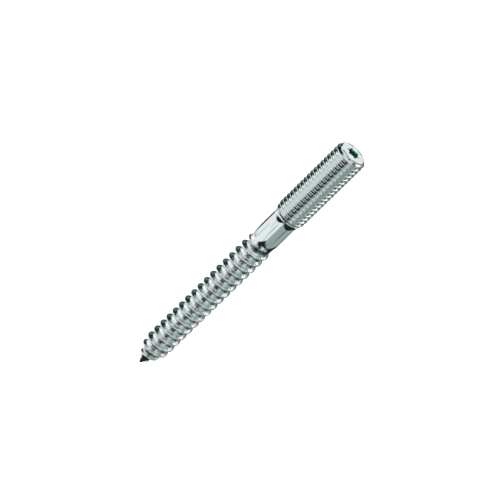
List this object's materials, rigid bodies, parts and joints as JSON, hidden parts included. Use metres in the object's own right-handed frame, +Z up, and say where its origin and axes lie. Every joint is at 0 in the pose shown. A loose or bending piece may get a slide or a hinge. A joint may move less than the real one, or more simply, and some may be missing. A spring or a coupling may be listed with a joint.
{
  "type": "hanger bolt",
  "caption": "Steel hanger bolt: a wood screw thread on one end, a hexagon in the middle, and a metric machine thread with a six-lobed socket on the other.",
  "frame": {"origin": "centre of the bounding box in plan, at the level of the surface the bolt lies on; the bolt's axis is 5 mm above it", "axes": "+X along the bolt's axis from the wood point to the machine end, +Z up with one corner of the hexagon pointing up, +Y across two flats"},
  "size_m": [0.1, 0.01, 0.01],
  "materials": {
    "zinc_plated_steel": "bright blue-white zinc plating over cold-formed steel, thread crests slightly brighter"
  },
  "bodies": {
    "root": {"hanger_bolt": "zinc_plated_steel"}
  },
  "joints": []
}
